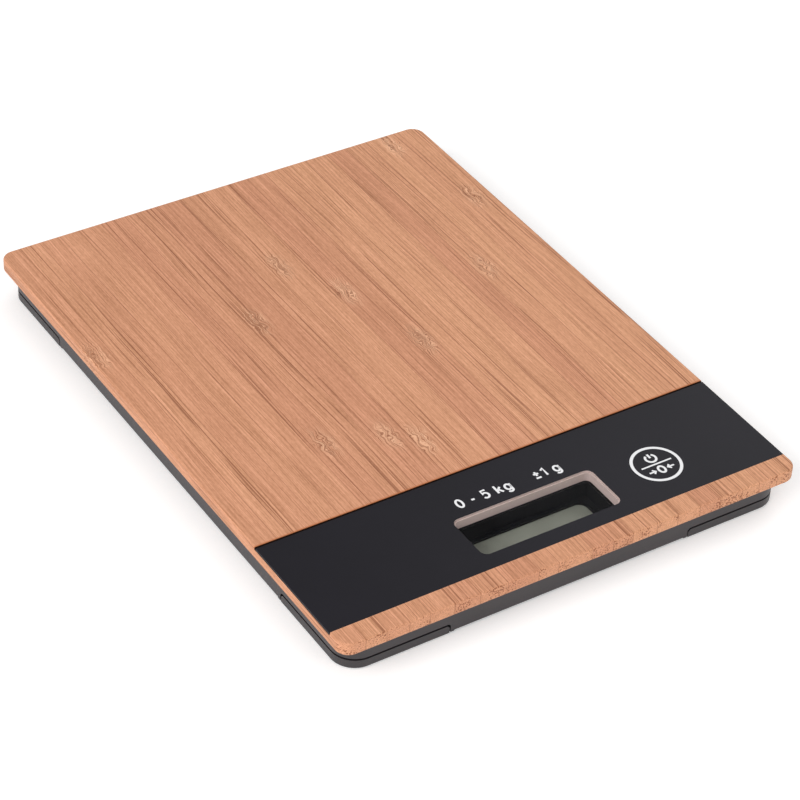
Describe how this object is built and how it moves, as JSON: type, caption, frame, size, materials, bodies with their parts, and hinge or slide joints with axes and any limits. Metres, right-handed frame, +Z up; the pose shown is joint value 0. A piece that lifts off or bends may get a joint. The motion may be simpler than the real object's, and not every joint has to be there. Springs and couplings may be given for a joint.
{
  "type": "kitchen scale",
  "caption": "Flat rectangular kitchen scale with a bamboo weighing top, an inlaid black display panel with a sunken digital readout and touch key, a black tray and corner feet.",
  "frame": {"origin": "on the table under the middle of the platform", "axes": "+X to the user's right, +Y away from the user (the display is at the -Y end), +Z up"},
  "size_m": [0.165, 0.219, 0.0148],
  "materials": {
    "bamboo": "satin oiled",
    "panel_black": "satin",
    "adhesive_tape": "tacky film",
    "window_lens": "clear",
    "shroud_black": "matt moulded",
    "lcd_glass": "semi-matt polariser",
    "foam_pad": "open foam",
    "foil_connector": "film",
    "circuit_board": "solder mask",
    "epoxy_blob": "resin",
    "capacitor_ceramic": "ceramic",
    "resistor_body": "ceramic",
    "spring_steel": "bright wire",
    "switch_housing": "moulded",
    "switch_plunger": "moulded",
    "button_black": "moulded",
    "tray_black": "fine texture",
    "gauge_foil": "film",
    "cell_steel": "bright",
    "contact_positive": "plated",
    "contact_negative": "plated",
    "door_black": "fine texture",
    "screw_steel": "zinc",
    "wire_insulation": "insulated",
    "foot_black": "fine texture",
    "pad_rubber": "soft",
    "load_cell_steel": "stamped",
    "retainer_white": "moulded"
  },
  "bodies": {
    "scale_body": {"platform_board": "bamboo", "display_panel": "panel_black", "panel_adhesive": "adhesive_tape", "display_window": "window_lens", "display_shroud": "shroud_black", "lcd_panel": "lcd_glass", "lcd_foam_pad": "foam_pad", "lcd_foil_connector": "foil_connector", "main_pcb": "circuit_board", "controller_chip": "epoxy_blob", "pcb_capacitors": "capacitor_ceramic", "pcb_resistors": "resistor_body", "touch_spring": "spring_steel", "unit_switch": "switch_housing", "base_tray": "tray_black", "strain_gauges": "gauge_foil", "coin_cell": "cell_steel", "battery_contact_positive": "contact_positive", "battery_contact_negative": "contact_negative", "tray_screws": "screw_steel", "retainer_screws": "screw_steel", "shroud_screws": "screw_steel", "pcb_screws": "screw_steel", "battery_wires": "wire_insulation", "load_cell_front_left": "load_cell_steel", "cell_retainer_front_left": "retainer_white", "sensor_wires_front_left": "wire_insulation", "load_cell_front_right": "load_cell_steel", "cell_retainer_front_right": "retainer_white", "sensor_wires_front_right": "wire_insulation", "load_cell_back_left": "load_cell_steel", "cell_retainer_back_left": "retainer_white", "sensor_wires_back_left": "wire_insulation", "load_cell_back_right": "load_cell_steel", "cell_retainer_back_right": "retainer_white", "sensor_wires_back_right": "wire_insulation"},
    "foot_front_left_body": {"foot_front_left": "foot_black", "foot_pad_front_left": "pad_rubber"},
    "foot_front_right_body": {"foot_front_right": "foot_black", "foot_pad_front_right": "pad_rubber"},
    "foot_back_left_body": {"foot_back_left": "foot_black", "foot_pad_back_left": "pad_rubber"},
    "foot_back_right_body": {"foot_back_right": "foot_black", "foot_pad_back_right": "pad_rubber"},
    "unit_button_body": {"unit_button": "button_black", "switch_plunger": "switch_plunger"},
    "battery_door_body": {"battery_door": "door_black"}
  },
  "joints": [
    {"name": "foot_press_front_left", "type": "slide", "parent": "scale_body", "child": "foot_front_left_body", "axis": [0, 0, 1], "range_m": [0, 0.0003], "stiffness_N_per_m": 4000, "springref_m": -0.0005, "deforming": ["load_cell_front_left"]},
    {"name": "foot_press_front_right", "type": "slide", "parent": "scale_body", "child": "foot_front_right_body", "axis": [0, 0, 1], "range_m": [0, 0.0003], "stiffness_N_per_m": 4000, "springref_m": -0.0005, "deforming": ["load_cell_front_right"]},
    {"name": "foot_press_back_left", "type": "slide", "parent": "scale_body", "child": "foot_back_left_body", "axis": [0, 0, 1], "range_m": [0, 0.0003], "stiffness_N_per_m": 4000, "springref_m": -0.0005, "deforming": ["load_cell_back_left"]},
    {"name": "foot_press_back_right", "type": "slide", "parent": "scale_body", "child": "foot_back_right_body", "axis": [0, 0, 1], "range_m": [0, 0.0003], "stiffness_N_per_m": 4000, "springref_m": -0.0005, "deforming": ["load_cell_back_right"]},
    {"name": "unit_button_press", "type": "slide", "parent": "scale_body", "child": "unit_button_body", "axis": [0, 0, 1], "range_m": [0, 0.0003], "stiffness_N_per_m": 500, "springref_m": -0.001},
    {"name": "battery_door_hinge", "type": "hinge", "parent": "scale_body", "child": "battery_door_body", "pos_m": [0, 0.0474, 0.0014], "axis": [1, 0, 0], "range_deg": [0, 80]}
  ]
}
